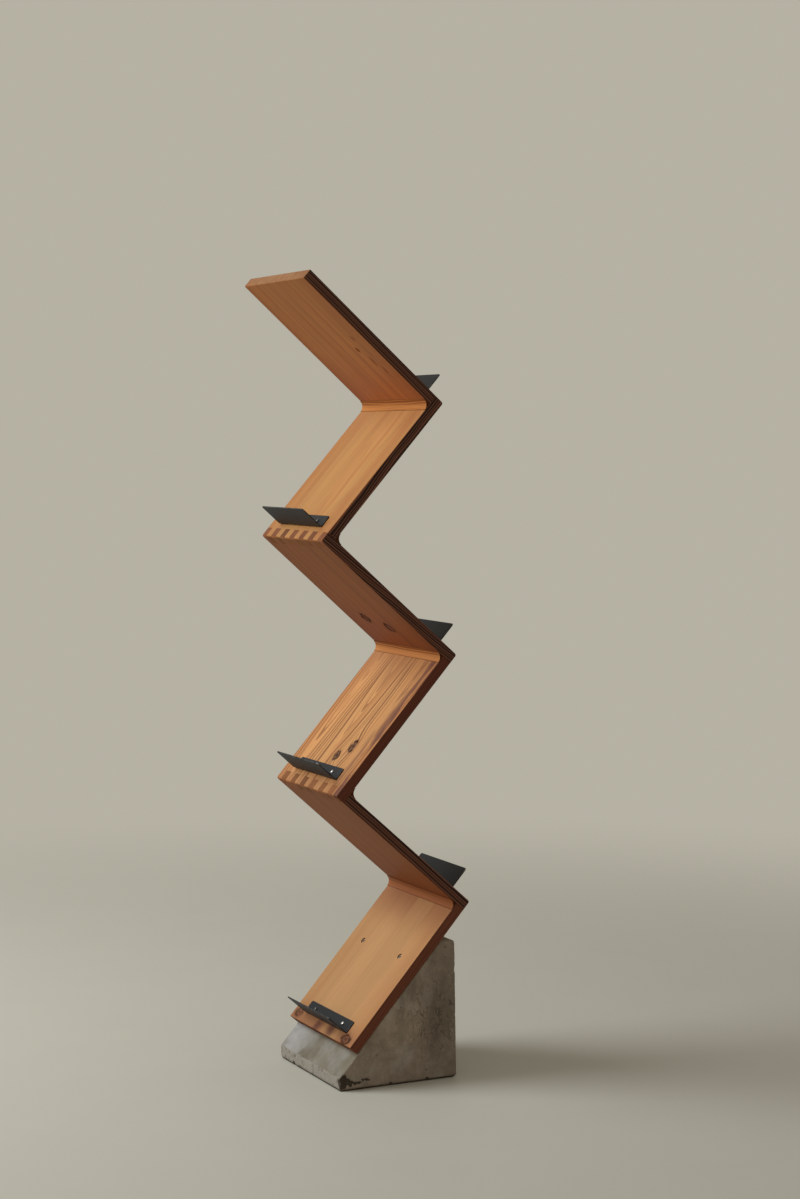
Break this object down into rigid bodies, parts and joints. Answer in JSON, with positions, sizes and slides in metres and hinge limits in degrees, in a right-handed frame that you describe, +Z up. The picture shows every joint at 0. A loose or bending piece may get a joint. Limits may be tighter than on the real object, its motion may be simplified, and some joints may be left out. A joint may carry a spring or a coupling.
{
  "type": "magazine shelf",
  "caption": "Free-standing zigzag magazine shelf: finger-jointed pine boards at right angles on a cast concrete wedge, with folded steel ledges at front and back.",
  "frame": {"origin": "on the floor, under the middle of the whole shelf's box", "axes": "+Z up, -Y to the front, where the lowest board slopes down, X across the boards"},
  "size_m": [0.26, 0.3342, 1.4174],
  "materials": {
    "pine_board": "oiled",
    "pine_cove": "oiled",
    "cast_concrete": "rough cast",
    "black_steel": "satin",
    "zinc_screw": "zinc plated",
    "zinc_bolt": "zinc plated",
    "anchor_steel": "plain"
  },
  "bodies": {
    "root": {"concrete_base": "cast_concrete", "board_1": "pine_board", "board_2": "pine_board", "board_3": "pine_board", "board_4": "pine_board", "board_5": "pine_board", "board_6": "pine_board", "cove_1": "pine_cove", "cove_2": "pine_cove", "cove_3": "pine_cove", "cove_4": "pine_cove", "cove_5": "pine_cove", "ledge_1": "black_steel", "ledge_2": "black_steel", "ledge_3": "black_steel", "ledge_4": "black_steel", "ledge_5": "black_steel", "ledge_6": "black_steel", "ledge_screw_1_a": "zinc_screw", "ledge_screw_1_b": "zinc_screw", "ledge_screw_2_a": "zinc_screw", "ledge_screw_2_b": "zinc_screw", "ledge_screw_3_a": "zinc_screw", "ledge_screw_3_b": "zinc_screw", "ledge_screw_4_a": "zinc_screw", "ledge_screw_4_b": "zinc_screw", "ledge_screw_5_a": "zinc_screw", "ledge_screw_5_b": "zinc_screw", "ledge_screw_6_a": "zinc_screw", "ledge_screw_6_b": "zinc_screw", "base_bolt_a": "zinc_bolt", "base_bolt_b": "zinc_bolt", "base_anchor_a": "anchor_steel", "base_anchor_b": "anchor_steel"}
  },
  "joints": []
}
